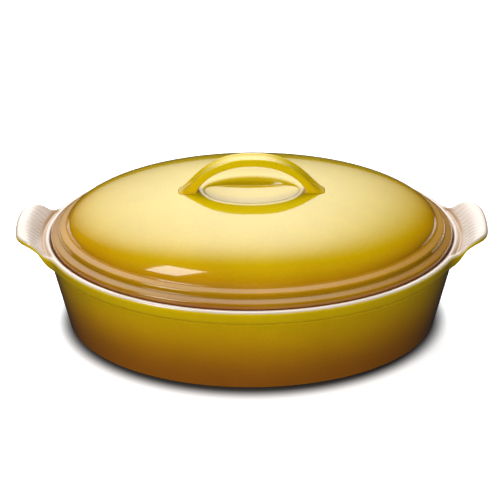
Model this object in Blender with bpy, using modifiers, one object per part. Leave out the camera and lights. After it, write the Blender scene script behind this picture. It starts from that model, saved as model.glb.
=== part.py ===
"""Covered oval casserole in glazed stoneware.

A deep oval dish with a fluted ear handle at each end, and a domed lid that drops inside the dish's lip.
The lid has two stepped beads round its edge, a finger well in its crown and a strap handle arched over the
well. Everything is symmetric about the XZ and YZ planes, so the dish and the lid are each lofted as one
quarter and mirrored. +X runs from ear to ear, +Z is up, and the foot stands on z = 0.
"""

import math

import bmesh
import bpy

# Driving dimensions, in metres. An oval is (half length, half width).
LIP_OVAL = (0.182, 0.1355)
BASE_OVAL = (0.1625, 0.1185)
DISH_HEIGHT = 0.085
EAR_TIP = 0.205
EAR_HALF_WIDTH = 0.0385
LID_TOP = 0.1282
HANDLE_TOP = 0.1585
LIP_THICKNESS = 0.006
WALL_THICKNESS = 0.006
PIECE_GAP = 0.0003
LID_PLAY = 0.0008

# The dish's section, from the outside in.
BAND_DEPTH = 0.0137
GROOVE_INSET = 0.0045
FOOT_RADIUS = 0.003
FOOT_WIDTH = 0.007
FOOT_RECESS = 0.0012
FLOOR_THICKNESS = 0.007
FLOOR_FILLET = 0.014
SEAT_DEPTH = 0.0054
SEAT_WIDTH = 0.007
SEAT_FILLET = 0.001
LIP_ROUND = 0.0025
LIP_CREST = 0.0036
WALL_BULGE = 0.15
# The rim band's lower corners, each (inset from the outline, drop from the top).
BAND_CORNERS = ((0.0036, 0.0128), (0.0022, 0.0120), (0.0014, 0.0102))

# The ears. Their tops rise from a fold just outside the lip, and ease in over EAR_BLEND from the plain rim.
EAR_CORNER = 0.018
EAR_BOW = 0.0055
EAR_MELT = 0.016
EAR_BLEND = 0.010
EAR_RISE = 0.0105
EAR_RUN = 0.016
EAR_FOLD = 0.0022
FOLD_SOFTNESS = 0.06
EAR_VALLEY = 0.0014
VALLEY_MIDDLE = -0.0003
VALLEY_HALF_WIDTH = 0.0033
EAR_EDGE = 0.0026
EAR_ROOT_DEPTH = 0.0060
EAR_TIP_DEPTH = 0.0067
EAR_FAN = 2.4
# The ear's lower corners, each (inset from the outline, share of the ear's depth, lift above that).
EAR_CORNERS = ((0.0042, 1.0, 0.0), (0.0014, 1.0, 0.0010), (0.0003, 0.8, 0.0012))

# The lid's section.
DOME_INSET = 0.0146
DOME_FOOT = 0.0954
LID_THICKNESS = 0.0062
SKIRT_DEPTH = 0.0075
SKIRT_THICKNESS = 0.005
SKIRT_PLAY = 0.0012
SKIRT_TOP = 0.0894
EASED_EDGE = 0.001
# The two stepped beads, each (inset of its corner from the flange, height of the corner's centre, radius).
BEADS = ((0.0003, 0.0866, 0.0022), (0.0074, 0.0928, 0.0020))
TREAD_TILT = math.radians(18)
TREAD_WIDTH = 0.0050
TREAD_COVE = 0.0006
WELL_FLOOR = (0.033, 0.0195)
WELL_FLOOR_HEIGHT = 0.1203
WELL_RUN = (0.0150, 0.0110)

# The strap handle. Its top falls as a power of the way out, and its underside is an oval arch.
STRAP_WIDTH = 0.015
STRAP_ROUND = 0.0018
STRAP_TROUGH = 0.0011
STRAP_THICKNESS = 0.0068
STRAP_HALF_SPAN = 0.060
STRAP_FOOT_HEIGHT = 0.1240
STRAP_POWER = 2.5
ARCH_HALF_SPAN = 0.0485
ARCH_SPRING = 0.119
ARCH_TURN = math.radians(80)
TOE_LENGTH = 0.0045
TOE_ROUND = 0.0068
TOE_START = 0.84

DISH_STATIONS = 25
EAR_STATIONS_BIAS = 0.45
LID_STATIONS = 20
STRAP_STEPS = 44
OUTLINE_SAMPLES = 1500
NORMAL_STEP = 0.0004
QUARTER = math.pi / 2

SEAT_HEIGHT = DISH_HEIGHT - SEAT_DEPTH
GROOVE_HEIGHT = DISH_HEIGHT - BAND_DEPTH
LIP_INNER = tuple(half - LIP_THICKNESS for half in LIP_OVAL)
FLANGE_OVAL = tuple(half - LID_PLAY for half in LIP_INNER)
DOME_OVAL = tuple(half - DOME_INSET for half in FLANGE_OVAL)

YELLOW_GLAZE = (0.62, 0.42, 0.012, 1.0)
AMBER_GLAZE = (0.50, 0.28, 0.015, 1.0)


def clamp(value, low=0.0, high=1.0):
    return max(low, min(high, value))


def mix(a, b, share):
    return a + (b - a) * share


def ease(value):
    """0 to 1 with a level start and end."""
    value = clamp(value)
    return value * value * (3 - 2 * value)


def inset(oval, distance):
    return (oval[0] - distance, oval[1] - distance)


def oval_gap(oval, x, y):
    """How far (x, y) lies outside an oval, near enough; negative inside."""
    share = math.hypot(x / oval[0], y / oval[1])
    slope = math.hypot(x / oval[0] ** 2, y / oval[1] ** 2)
    return (share - 1) * share / slope


def ear_gap(x, y):
    """How far (x, y) lies outside the ear's rounded rectangle, seen from above; negative inside."""
    over_x = x + EAR_BOW * (y / EAR_HALF_WIDTH) ** 2 - (EAR_TIP - EAR_CORNER)
    over_y = abs(y) - (EAR_HALF_WIDTH - EAR_CORNER)
    outside = math.hypot(max(over_x, 0), max(over_y, 0))
    return outside + min(max(over_x, over_y), 0) - EAR_CORNER


def outline_gap(x, y):
    """How far (x, y) lies outside the dish's whole outline: the lip's oval melted into the ear."""
    oval, ear = oval_gap(LIP_OVAL, x, y), ear_gap(x, y)
    share = clamp(0.5 + (ear - oval) / (2 * EAR_MELT))
    return mix(ear, oval, share) - EAR_MELT * share * (1 - share)


def outline_point(angle):
    """Where a ray from the centre crosses the outline."""
    near, far = 0.5 * LIP_OVAL[1], 1.3 * EAR_TIP
    for _ in range(40):
        middle = (near + far) / 2
        if outline_gap(middle * math.cos(angle), middle * math.sin(angle)) < 0:
            near = middle
        else:
            far = middle
    return (near * math.cos(angle), near * math.sin(angle))


def walked(points):
    """The distance walked along a line of points, at each point."""
    total = [0.0]
    for (x0, y0), (x1, y1) in zip(points, points[1:]):
        total.append(total[-1] + math.hypot(x1 - x0, y1 - y0))
    return total


def point_at(points, total, distance):
    """The point at a distance along a line of points."""
    after = next((i for i, t in enumerate(total) if t >= distance), len(total) - 1)
    after = max(after, 1)
    share = (distance - total[after - 1]) / (total[after] - total[after - 1])
    (x0, y0), (x1, y1) = points[after - 1], points[after]
    return (mix(x0, x1, share), mix(y0, y1, share))


def dish_stations(count):
    """The quarter's stations, from the ear's tip round to the long side. Each is the outline point, the
    outward normal there, and the oval angle of the rest of that section. The ear's extra length of outline
    is taken up evenly between its tip and its root, so that the sections fan out into the ear."""
    steps = range(OUTLINE_SAMPLES + 1)
    outline = [outline_point(QUARTER * i / OUTLINE_SAMPLES) for i in steps]
    oval = [(LIP_OVAL[0] * math.cos(QUARTER * i / OUTLINE_SAMPLES),
             LIP_OVAL[1] * math.sin(QUARTER * i / OUTLINE_SAMPLES)) for i in steps]
    out_total, oval_total = walked(outline), walked(oval)
    root = EAR_FAN * EAR_HALF_WIDTH
    extra = out_total[-1] - oval_total[-1]
    stations = []
    for i in range(count + 1):
        share = i / count
        distance = out_total[-1] * mix(share, share ** 2.2, EAR_STATIONS_BIAS)
        here = point_at(outline, out_total, distance)
        x0, y0 = point_at(outline, out_total, max(distance - NORMAL_STEP, 0.0))
        x1, y1 = point_at(outline, out_total, min(distance + NORMAL_STEP, out_total[-1]))
        length = math.hypot(x1 - x0, y1 - y0)
        normal = ((y1 - y0) / length, (x0 - x1) / length)
        on_oval = distance - extra * ease(distance / root)
        x, y = point_at(oval, oval_total, on_oval)
        angle = math.atan2(y / LIP_OVAL[1], x / LIP_OVAL[0])
        if i == 0:
            here, normal, angle = (EAR_TIP, 0.0), (1.0, 0.0), 0.0
        if i == count:
            here, normal, angle = (0.0, LIP_OVAL[1]), (0.0, 1.0), QUARTER
        stations.append((here, normal, angle))
    return stations


def oval_point(oval, z, angle):
    """A point on a level oval; exactly on the mirror plane at the quarter's two ends."""
    x = 0.0 if angle == QUARTER else oval[0] * math.cos(angle)
    y = 0.0 if angle == 0.0 else oval[1] * math.sin(angle)
    return (x, y, z)


def wall_oval(z):
    """The outside of the wall at height z."""
    share = z / GROOVE_HEIGHT
    bulged = share + WALL_BULGE * share * (1 - share)
    groove = inset(LIP_OVAL, GROOVE_INSET)
    return (mix(BASE_OVAL[0], groove[0], share), mix(BASE_OVAL[1], groove[1], bulged))


def shelf_height(x, y, ear):
    """The top of the rim and ear at (x, y): level along the lip, then a fold, then the ear's rise."""
    beyond = oval_gap(LIP_OVAL, x, y)
    climb = (beyond - EAR_FOLD) / EAR_RUN
    climb = (climb + math.hypot(climb, FOLD_SOFTNESS)) / 2
    rise = EAR_RISE * math.sin(QUARTER * min(climb, 1.0))
    valley = EAR_VALLEY * ease(1 - abs(beyond - VALLEY_MIDDLE) / VALLEY_HALF_WIDTH)
    return DISH_HEIGHT + ear * (rise - valley)


def rim_section(station):
    """One section of rim or ear: from the groove, under the band or ear, round its edge and in to the lip."""
    (x, y), (nx, ny), angle = station
    beyond = oval_gap(LIP_OVAL, x, y)
    ear = ease(beyond / EAR_BLEND)
    depth = mix(EAR_ROOT_DEPTH, EAR_TIP_DEPTH, clamp(beyond / (EAR_TIP - LIP_OVAL[0])))
    edge = mix(LIP_ROUND, EAR_EDGE, ear)

    def inward(distance):
        return (x - distance * nx, y - distance * ny)

    top_x, top_y = inward(edge)
    top = shelf_height(top_x, top_y, ear)
    corners = []
    for (band_inset, band_drop), (ear_inset, depth_share, lift) in zip(BAND_CORNERS, EAR_CORNERS):
        drop = mix(band_drop, depth_share * depth - lift, ear)
        corners.append((*inward(mix(band_inset, ear_inset, ear)), top - drop))
    under = corners[0]
    groove = oval_point(inset(LIP_OVAL, GROOVE_INSET), GROOVE_HEIGHT, angle)
    points = []
    for share in (0.72, 0.42, 0.18):
        rise = math.sqrt(1 - share * share)
        points.append((mix(under[0], groove[0], share), mix(under[1], groove[1], share),
                       mix(groove[2], under[2], rise)))
    points += corners
    for turn in (0.0, 0.38, 0.72):
        swing = QUARTER * turn
        points.append((*inward(edge * (1 - math.cos(swing))), top - edge * (1 - math.sin(swing))))
    crest = oval_point(inset(LIP_OVAL, LIP_CREST), DISH_HEIGHT, angle)
    for share in (0.0, 0.22, 0.48, 0.76):
        across = (mix(top_x, crest[0], share), mix(top_y, crest[1], share))
        points.append((*across, shelf_height(*across, ear)))
    return [(0.0 if angle == QUARTER else px, 0.0 if angle == 0.0 else py, pz) for px, py, pz in points]


def round_corner(oval, z, radius, start, end, count):
    """Level ovals round a corner whose centre is that far inside an oval; angles are from straight out."""
    rings = []
    for i in range(count + 1):
        swing = mix(start, end, i / count)
        rings.append((inset(oval, radius * (1 - math.cos(swing))), z + radius * math.sin(swing)))
    return rings


def dish_rings(stations):
    """Every ring of the dish's quarter, from the middle of its foot, up its outside, and in to its floor."""
    foot = inset(wall_oval(FOOT_RADIUS), FOOT_RADIUS)
    outside = [(inset(foot, FOOT_WIDTH + FOOT_RECESS), FOOT_RECESS), (inset(foot, FOOT_WIDTH), 0.0)]
    outside += round_corner(wall_oval(FOOT_RADIUS), FOOT_RADIUS, FOOT_RADIUS, -QUARTER, 0.0, 3)
    outside += [(wall_oval(share * GROOVE_HEIGHT), share * GROOVE_HEIGHT) for share in (0.35, 0.7, 1.0)]
    floor_oval = inset(wall_oval(FLOOR_THICKNESS + FLOOR_FILLET), WALL_THICKNESS)
    inside = [
        (inset(LIP_OVAL, LIP_CREST), DISH_HEIGHT),
        (inset(LIP_INNER, -SEAT_FILLET), DISH_HEIGHT - PIECE_GAP),
        (LIP_INNER, DISH_HEIGHT - PIECE_GAP - SEAT_FILLET),
        (LIP_INNER, SEAT_HEIGHT + SEAT_FILLET),
        (inset(LIP_INNER, SEAT_FILLET), SEAT_HEIGHT),
        (inset(LIP_INNER, SEAT_WIDTH - SEAT_FILLET), SEAT_HEIGHT),
        (inset(LIP_INNER, SEAT_WIDTH), SEAT_HEIGHT - SEAT_FILLET),
    ]
    inside += round_corner(floor_oval, FLOOR_THICKNESS + FLOOR_FILLET, FLOOR_FILLET, 0.0, -QUARTER, 4)
    rings = [[oval_point(oval, z, angle) for _, _, angle in stations] for oval, z in outside]
    sections = [rim_section(station) for station in stations]
    rings += [list(ring) for ring in zip(*sections)]
    rings += [[oval_point(oval, z, angle) for _, _, angle in stations] for oval, z in inside]
    return rings


def dome_ring(share, thickness=0.0):
    """(oval, height) of the lid's dome at a share of its foot oval, or of the surface that far under it."""
    oval = (share * (DOME_OVAL[0] - thickness), share * (DOME_OVAL[1] - thickness))
    rise = (LID_TOP - DOME_FOOT - thickness) * math.sqrt(max(1 - share * share, 0.0))
    return oval, DOME_FOOT + rise


def well_ring(climb, thickness=0.0):
    """The same for the finger well, at a share of the way from its floor's edge out to its rim."""
    oval = (WELL_FLOOR[0] + WELL_RUN[0] * climb, WELL_FLOOR[1] + WELL_RUN[1] * climb)
    rim = (WELL_FLOOR[0] + WELL_RUN[0], WELL_FLOOR[1] + WELL_RUN[1])
    reach = math.hypot(rim[0] / DOME_OVAL[0], rim[1] / DOME_OVAL[1]) / math.sqrt(2)
    rise = (dome_ring(reach)[1] - WELL_FLOOR_HEIGHT) * math.sqrt(1 - (1 - climb) ** 2)
    return oval, WELL_FLOOR_HEIGHT + rise - thickness


def lid_rings():
    """(oval, height) rings of the lid: from the middle of its underside to its flange and up to its top."""
    seat = SEAT_HEIGHT + PIECE_GAP
    skirt = inset(LIP_INNER, SEAT_WIDTH + SKIRT_PLAY)
    skirt_foot = seat - SKIRT_DEPTH
    rings = [well_ring(climb, LID_THICKNESS) for climb in (0.0, 0.4, 1.0)]
    rings += [dome_ring(math.sin(QUARTER * turn), LID_THICKNESS) for turn in (0.38, 0.55, 0.72, 0.87)]
    rings += [
        (inset(skirt, SKIRT_THICKNESS), SKIRT_TOP),
        (inset(skirt, SKIRT_THICKNESS), skirt_foot + EASED_EDGE),
        (inset(skirt, SKIRT_THICKNESS - EASED_EDGE), skirt_foot),
        (inset(skirt, EASED_EDGE), skirt_foot),
        (skirt, skirt_foot + EASED_EDGE),
        (skirt, seat),
        (inset(FLANGE_OVAL, EASED_EDGE), seat),
        (FLANGE_OVAL, seat + EASED_EDGE),
    ]
    for bead_inset, height, radius in BEADS:
        swing = QUARTER - TREAD_TILT
        rings += round_corner(inset(FLANGE_OVAL, bead_inset), height, radius, 0.0, swing, 3)
        back = bead_inset + radius * (1 - math.cos(swing)) + TREAD_WIDTH
        tread = height + radius * math.sin(swing) + TREAD_WIDTH * math.tan(TREAD_TILT)
        rings.append((inset(FLANGE_OVAL, back), tread))
        rings.append((inset(FLANGE_OVAL, back + TREAD_COVE), tread + TREAD_COVE))
    dome_turns = (0.97, 0.92, 0.82, 0.71, 0.60, 0.49, 0.38, 0.28)
    rings += [dome_ring(math.sin(QUARTER * turn)) for turn in dome_turns]
    rings += [well_ring(climb) for climb in (1.0, 0.65, 0.35, 0.12, 0.0)]
    return rings


def strap_section(along):
    """The strap's section, from one foot (-1) over the crown (0) to the other foot (+1).

    It is the middle of the strap's top and of its underside, each (x, z), and how far the toe has begun."""
    toe = clamp((abs(along) - TOE_START) / (1 - TOE_START)) ** 2
    top = (math.copysign(STRAP_HALF_SPAN * abs(along) + TOE_LENGTH * toe, along),
           HANDLE_TOP - (HANDLE_TOP - STRAP_FOOT_HEIGHT) * abs(along) ** STRAP_POWER)
    arch_height = HANDLE_TOP - STRAP_THICKNESS - ARCH_SPRING
    turn = ARCH_TURN * along
    under = (ARCH_HALF_SPAN * math.sin(turn), ARCH_SPRING + arch_height * math.cos(turn))
    return top, under, toe


def material(name, colour, roughness):
    made = bpy.data.materials.new(name)
    made.use_nodes = True
    shader = made.node_tree.nodes["Principled BSDF"]
    shader.inputs["Base Color"].default_value = colour
    shader.inputs["Roughness"].default_value = roughness
    shader.inputs["Metallic"].default_value = 0.0
    return made


def add_object(name, mesh, collection, look):
    made = bpy.data.objects.new(name, mesh)
    collection.objects.link(made)
    mesh.materials.append(look)
    return made


def mirrored_loft(name, rings, collection, look):
    """A closed shell lofted through the quarter's rings and mirrored to the other three quarters."""
    net = bmesh.new()
    loops = [[net.verts.new(point) for point in ring] for ring in rings]
    for low, high in zip(loops, loops[1:]):
        for i in range(len(low) - 1):
            net.faces.new((low[i], low[i + 1], high[i + 1], high[i]))
    first = net.verts.new((0.0, 0.0, rings[0][0][2]))
    last = net.verts.new((0.0, 0.0, rings[-1][0][2]))
    for i in range(len(loops[0]) - 1):
        net.faces.new((first, loops[0][i + 1], loops[0][i]))
        net.faces.new((last, loops[-1][i], loops[-1][i + 1]))
    mesh = bpy.data.meshes.new(name)
    net.to_mesh(mesh)
    net.free()
    made = add_object(name, mesh, collection, look)
    mirror = made.modifiers.new("mirror", "MIRROR")
    mirror.use_axis = (True, True, False)
    mirror.use_clip = True
    mirror.merge_threshold = 0.00001
    mesh.shade_smooth()
    mesh.set_sharp_from_angle(angle=math.radians(35))
    return made


def rounded_section(thickness, toe, steps):
    """The strap's section as (across, up) points, anticlockwise: dished on top and rounded off at the toe."""
    top_round = mix(STRAP_ROUND, TOE_ROUND, toe)
    points = []
    for corner, (sx, sy) in enumerate(((1, 1), (-1, 1), (-1, -1), (1, -1))):
        radius = top_round if sy > 0 else STRAP_ROUND
        for i in range(steps + 1):
            swing = QUARTER * (corner + i / steps)
            points.append((sx * (STRAP_WIDTH / 2 - radius) + radius * math.cos(swing),
                           sy * (thickness / 2 - radius) + radius * math.sin(swing)))
        if corner == 0:
            points.append((0.0, thickness / 2 - STRAP_TROUGH * (1 - toe)))
    return points


def strap_handle(name, collection, look, cutter):
    """The arched strap, lofted from foot to foot and cut to the dome it stands on."""
    net = bmesh.new()
    loops = []
    for i in range(STRAP_STEPS + 1):
        top, under, toe = strap_section(mix(-1.0, 1.0, i / STRAP_STEPS))
        up = (top[0] - under[0], top[1] - under[1])
        thickness = math.hypot(*up)
        middle = ((top[0] + under[0]) / 2, (top[1] + under[1]) / 2)
        section = rounded_section(thickness, toe, 2)
        loops.append([net.verts.new((middle[0] + rise * up[0] / thickness, across,
                                     middle[1] + rise * up[1] / thickness)) for across, rise in section])
    for near, far in zip(loops, loops[1:]):
        for i in range(len(near)):
            after = (i + 1) % len(near)
            net.faces.new((near[i], near[after], far[after], far[i]))
    net.faces.new(loops[0][::-1])
    net.faces.new(loops[-1])
    bmesh.ops.recalc_face_normals(net, faces=net.faces)
    mesh = bpy.data.meshes.new(name)
    net.to_mesh(mesh)
    net.free()
    made = add_object(name, mesh, collection, look)
    mesh.shade_smooth()
    cut = made.modifiers.new("seat on the dome", "BOOLEAN")
    cut.operation = "DIFFERENCE"
    cut.solver = "EXACT"
    cut.object = cutter
    return made


def dome_cutter(collection):
    """The dome as a solid, one gap proud of the lid, which trims the handle's feet."""
    bpy.ops.mesh.primitive_uv_sphere_add(segments=96, ring_count=64, radius=1.0, location=(0, 0, DOME_FOOT))
    made = bpy.context.object
    made.name = "dome_cutter"
    made.scale = (DOME_OVAL[0] + PIECE_GAP, DOME_OVAL[1] + PIECE_GAP, LID_TOP - DOME_FOOT + PIECE_GAP)
    for owner in list(made.users_collection):
        owner.objects.unlink(made)
    collection.objects.link(made)
    made.hide_render = True
    made.display_type = "WIRE"
    return made


def new_collection(name):
    made = bpy.data.collections.new(name)
    bpy.context.scene.collection.children.link(made)
    return made


def main():
    for old in list(bpy.data.objects):
        bpy.data.objects.remove(old)
    casserole = new_collection("covered_casserole")
    cutters = new_collection("cutters")
    dish_glaze = material("dish_glaze", AMBER_GLAZE, 0.12)
    lid_glaze = material("lid_glaze", YELLOW_GLAZE, 0.10)
    mirrored_loft("dish", dish_rings(dish_stations(DISH_STATIONS)), casserole, dish_glaze)
    angles = [QUARTER * i / LID_STATIONS for i in range(LID_STATIONS + 1)]
    rings = [[oval_point(oval, z, angle) for angle in angles] for oval, z in lid_rings()]
    mirrored_loft("lid", rings, casserole, lid_glaze)
    handle_glaze = material("handle_glaze", YELLOW_GLAZE, 0.08)
    strap_handle("lid_handle", casserole, handle_glaze, dome_cutter(cutters))


main()
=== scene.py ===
"""Looks for the covered casserole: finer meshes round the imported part, glazes, studio light and camera.

The dish, the lid and the strap handle each stand for their CAD node, on the CAD's own outlines. They add what
the CAD leaves out: the ears' flutes, the fine groove under the rim band, the softened beads, the handle's
flared feet, and the line where the coloured glaze stops at the rim.

The fold beside the ears and the strap's trough are a little deeper than the CAD's. The beads are a little
lower and steeper. The well's floor is longer, and lifts at its ends.
"""

import math

import bmesh
import bpy
import numpy as np
from mathutils import Matrix, Vector


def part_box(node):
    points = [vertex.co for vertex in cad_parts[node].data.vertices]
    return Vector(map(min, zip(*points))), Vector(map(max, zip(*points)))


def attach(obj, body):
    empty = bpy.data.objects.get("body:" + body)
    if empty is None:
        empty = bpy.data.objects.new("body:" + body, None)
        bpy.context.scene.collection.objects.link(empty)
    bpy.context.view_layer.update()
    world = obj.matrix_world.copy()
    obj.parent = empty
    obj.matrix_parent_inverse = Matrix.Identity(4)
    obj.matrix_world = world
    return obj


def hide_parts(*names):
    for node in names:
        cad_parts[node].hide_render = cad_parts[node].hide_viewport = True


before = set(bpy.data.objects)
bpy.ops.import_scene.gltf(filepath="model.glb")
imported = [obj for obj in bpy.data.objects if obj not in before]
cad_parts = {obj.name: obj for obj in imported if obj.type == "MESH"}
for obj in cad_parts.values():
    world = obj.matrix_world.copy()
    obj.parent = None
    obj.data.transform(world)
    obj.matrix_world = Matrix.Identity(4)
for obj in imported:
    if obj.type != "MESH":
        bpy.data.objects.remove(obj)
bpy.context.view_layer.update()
_, dish_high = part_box("dish")
_, lid_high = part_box("lid")
_, handle_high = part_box("lid_handle")

# Driving dimensions, in metres. An oval is (half length, half width).
LIP_OVAL = (0.182, dish_high.y)
BASE_OVAL = (0.1625, 0.1185)
DISH_HEIGHT = 0.085
EAR_TIP = dish_high.x
EAR_HALF_WIDTH = 0.0385
FLANGE_OVAL = (lid_high.x, lid_high.y)
HANDLE_TOP = handle_high.z
LIP_THICKNESS = 0.006
WALL_THICKNESS = 0.006
BAND_DEPTH = 0.0137
GROOVE_INSET = 0.0045
GROOVE_CUT = 0.0007
FOOT_RADIUS = 0.003
FOOT_WIDTH = 0.007
FOOT_RECESS = 0.0012
FLOOR_THICKNESS = 0.007
FLOOR_FILLET = 0.014
SEAT_DEPTH = 0.0054
SEAT_WIDTH = 0.007
WALL_BULGE = 0.15
LIP_ROUND = 0.0025
CREST_INSET = 0.0036
UPPER_WALL_RUN = 0.0004
UPPER_WALL_DROP = 0.004
# How far in and down from the rim the band under it turns, from its foot up.
BAND_CORNERS = ((0.0034, 0.0128), (0.0022, 0.0122), (0.0013, 0.0104))

# The ears.
EAR_CORNER = 0.018
EAR_BOW = 0.0055
EAR_MELT = 0.016
EAR_BLEND = 0.010
EAR_RISE = 0.0105
EAR_RUN = 0.016
EAR_FOLD = 0.0022
EAR_VALLEY = 0.0022
VALLEY_MIDDLE = -0.0003
VALLEY_HALF_WIDTH = 0.0034
# How far the valley's painted shade spreads from its middle.
VALLEY_SHADE_WIDTH = 0.0060
EAR_EDGE = 0.0026
EAR_ROOT_DEPTH = 0.0060
EAR_TIP_DEPTH = 0.0067
EAR_FAN = 2.4
# The same under the ear: (how far in, the share of the ear's depth, how far up from there).
EAR_CORNERS = ((0.0042, 1.0, 0.0), (0.0014, 1.0, 0.0010), (0.0003, 0.8, 0.0012))
FLUTE_PITCH = 0.0058
FLUTE_DEPTH = 0.00045
FLUTE_FAN = 1.2
FLUTE_SHARPNESS = 0.8
# The flutes begin this far out from the lip, end this far in from the ear's edge, and shallow outward.
FLUTE_START = (0.0015, 0.0030)
FLUTE_END = (0.0030, 0.0050)
FLUTE_FADE = (0.004, 0.016)
FLUTE_SHALLOWEST = 0.55
# Nothing is fluted within this distance past the glaze line, in mm, or this far below the lip's height.
FLUTE_RUN_IN = 1.5
SHELF_BELOW = 0.002

# The lid.
DOME_OVAL = (FLANGE_OVAL[0] - 0.0146, FLANGE_OVAL[1] - 0.0146)
DOME_FOOT = 0.0954
DOME_TOP = 0.1282
LID_THICKNESS = 0.0062
SKIRT_DEPTH = 0.0075
# The two stepped beads, each (inset of its corner from the flange, height of the corner's centre, radius).
BEADS = ((0.0003, 0.0865, 0.0022), (0.0074, 0.0926, 0.0020))
TREAD_TILT = math.radians(20)
TREAD_WIDTH = 0.0050
TREAD_COVE = 0.0006
WELL_FLOOR = (0.041, 0.0195)
WELL_FLOOR_HEIGHT = 0.1203
WELL_RUN = (0.0070, 0.0110)
WELL_LIFT = 0.0052
WELL_LIFT_SPAN = 0.040

# The strap handle.
STRAP_WIDTH = 0.015
STRAP_ROUND = 0.0018
STRAP_TROUGH = 0.0016
STRAP_THICKNESS = 0.0068
STRAP_HALF_SPAN = 0.060
STRAP_FOOT_HEIGHT = 0.1240
STRAP_POWER = 2.5
ARCH_HALF_SPAN = 0.0485
ARCH_SPRING = 0.119
ARCH_TURN = math.radians(80)
TOE_LENGTH = 0.0045
TOE_ROUND = 0.0068
TOE_START = 0.84
FLARE = 0.0014
FLARE_STEEPNESS = 1.5
SINK = 0.00015
SINK_REACH = 0.001
SEAM_MERGE = 0.00004
UNDERSIDE_CLEARANCE = 0.0002
UNDERSIDE_SLOPE = -0.5
SKIN_OF_STRAP = -20.0

DISH_STATIONS = 130
LID_STATIONS = 100
STRAP_STEPS = 170
OUTLINE_SAMPLES = 3000
OUTLINE_HALVINGS = 40
TANGENT_PROBE = 0.0004
# Stations crowd toward the ear's tip: the power of the crowding and its share.
STATION_CROWD = 2.4
STATION_BIAS = 0.72
FOOT_SHARES = (0.02, 0.2, 0.4, 0.6, 0.8)
WALL_SHARES = (0.08, 0.18, 0.32, 0.46, 0.6, 0.74, 0.87, 0.95, 0.985)
UNDERCUT_SHARES = (0.93, 0.80, 0.66, 0.50, 0.34, 0.18, 0.08)
RIM_TURNS = (0.0, 0.2, 0.4, 0.6, 0.8)
SHELF_SHARES = (*np.linspace(0.0, 0.66, 8), 0.72, 0.77, 0.81, 0.845, 0.875, 0.905, 0.935, 0.965)
INNER_WALL_SHARES = (0.2, 0.4, 0.6, 0.8)
INNER_FLOOR_SHARES = (0.9, 0.7, 0.5, 0.3, 0.15, 0.02)
UNDER_WELL_SHARES = (0.02, 0.3, 0.6, 0.9)
UNDER_WELL_CLIMBS = (0.1, 0.4, 0.9)
UNDER_DOME_TURNS = (0.36, 0.42, 0.48, 0.54, 0.60, 0.66, 0.72, 0.78, 0.84, 0.89)
DOME_TURNS = np.linspace(0.970, 0.30, 34)
WELL_CLIMBS = (1.0, 0.85, 0.7, 0.55, 0.4, 0.27, 0.16, 0.08, 0.02)
WELL_FLOOR_SHARES = (0.95, 0.85, 0.7, 0.5, 0.3, 0.02)
CORNER_STEPS = 7
TOP_STEPS = 12
SIDE_STEPS = 4
QUARTER = math.pi / 2

# The glazes. Colours are linear, and lengths past the glaze line are in mm.
GLAZE_RISE = 0.9
CREAM = (0.76, 0.66, 0.58)
CREAM_CLOUDED = (0.722, 0.6204, 0.5336)
# Painted shade: the colour the cream is darkened to in hollows.
CREAM_SHADE_PAINT = (0.48, 0.29, 0.14)
CREAM_THIN = (0.60, 0.49, 0.37)
BISCUIT = (0.55, 0.47, 0.38)
PALE_GLAZE = (0.74, 0.60, 0.20)
# The bend over which each effect comes in, and how strong it gets.
POOLED_BEND, POOLED_SHARE = (-0.10, -0.9), 0.30
WORN_BEND, WORN_SHARE = (0.15, 0.9), 0.18
CREAM_THIN_BEND, CREAM_THIN_SHARE = (0.05, 0.7), 0.6
# The cream's painted shade in hollows: the bend over which it comes in and how dark it gets. Then the
# strength of the painted shade along the ear's valley.
CREAM_SHADE_BEND, CREAM_SHADE_SHARE = (-0.04, -0.45), 0.90
VALLEY_SHADE_PAINT = 0.5
BEND_RADIUS = 0.002
BEND_SMOOTHINGS = 2
PALE_SPAN, PALE_SHARE = (-1.1, 0.0), 0.65
CREAM_SPAN = (-0.25, 0.35)
BARE_FOOT_SPAN = (0.0007, 0.0002)
BARE_FOOT_ROUGHNESS = 0.6
ROUGHNESS = (0.07, 0.12)
# Noise: (how many to the metre, detail), and how far it moves what it moves.
DRIFT, DRIFT_REACH = (9.0, 3.0), 0.006
GRAIN, GRAIN_REACH = (140.0, 3.0), 0.0008
MOTTLE, MOTTLE_SHARE = (420.0, 4.0, 0.6), 0.04
CLOUD, CLOUD_SHARE = (26.0, 3.0), 0.045
WEAR, WEAR_LEAST = (70.0, 3.0), 0.75
WANDER, WANDER_REACH = (160.0, 3.0), 0.22
CREAM_NOISE = (34.0, 4.0)
ROUGH_NOISE = (220.0, 3.0)
SPECK, SPECK_LEAST, SPECK_MOST = (900.0, 4.0), 0.85, 1.1
PEEL, PEEL_STRENGTH, PEEL_HEIGHT = (190.0, 2.0), 0.10, 0.0004
FINE, FINE_STRENGTH, FINE_HEIGHT = (1100.0, 2.0), 0.05, 0.0001
NOISE_LOW, NOISE_HIGH = 0.3, 0.7
SPECK_LOW, SPECK_HIGH = 0.35, 0.65

# The camera looks down at the middle of the object from the front.
VIEW_ELEVATION = math.radians(30.1133)
VIEW_TURN = 0.0015
VIEW_ROLL = -0.0049
VIEW_DISTANCE = 1.6
VIEW_HEIGHT = 0.06596
SENSOR = 36.0
LENS = 131.04
LENS_SHIFT = -0.00374

# The studio: paper, with a shadow painted on it round the dish's foot and the paper glowing brighter away
# from it.
STAGE_MIDDLE = Vector((0, 0, 0.1))
PAPER_HALF = 30.0
FLOOR_GLOW = 0.75
# The painted shadow: its oval, its shift, where it starts to fade, where it is gone, and its colour.
SHADOW_PAINT_OVAL = (0.1585, 0.1182)
SHADOW_PAINT_SHIFT = 0.0005
SHADOW_PAINT_START = 0.0010
SHADOW_PAINT_REACH = 0.0225
PAINTED_SHADOW_COLOUR = (0.08, 0.078, 0.075)
BACKDROP_RADIUS = 12.0
BACKDROP_DEPTH = 24.0
WORLD_STRENGTH = 0.02
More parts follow.
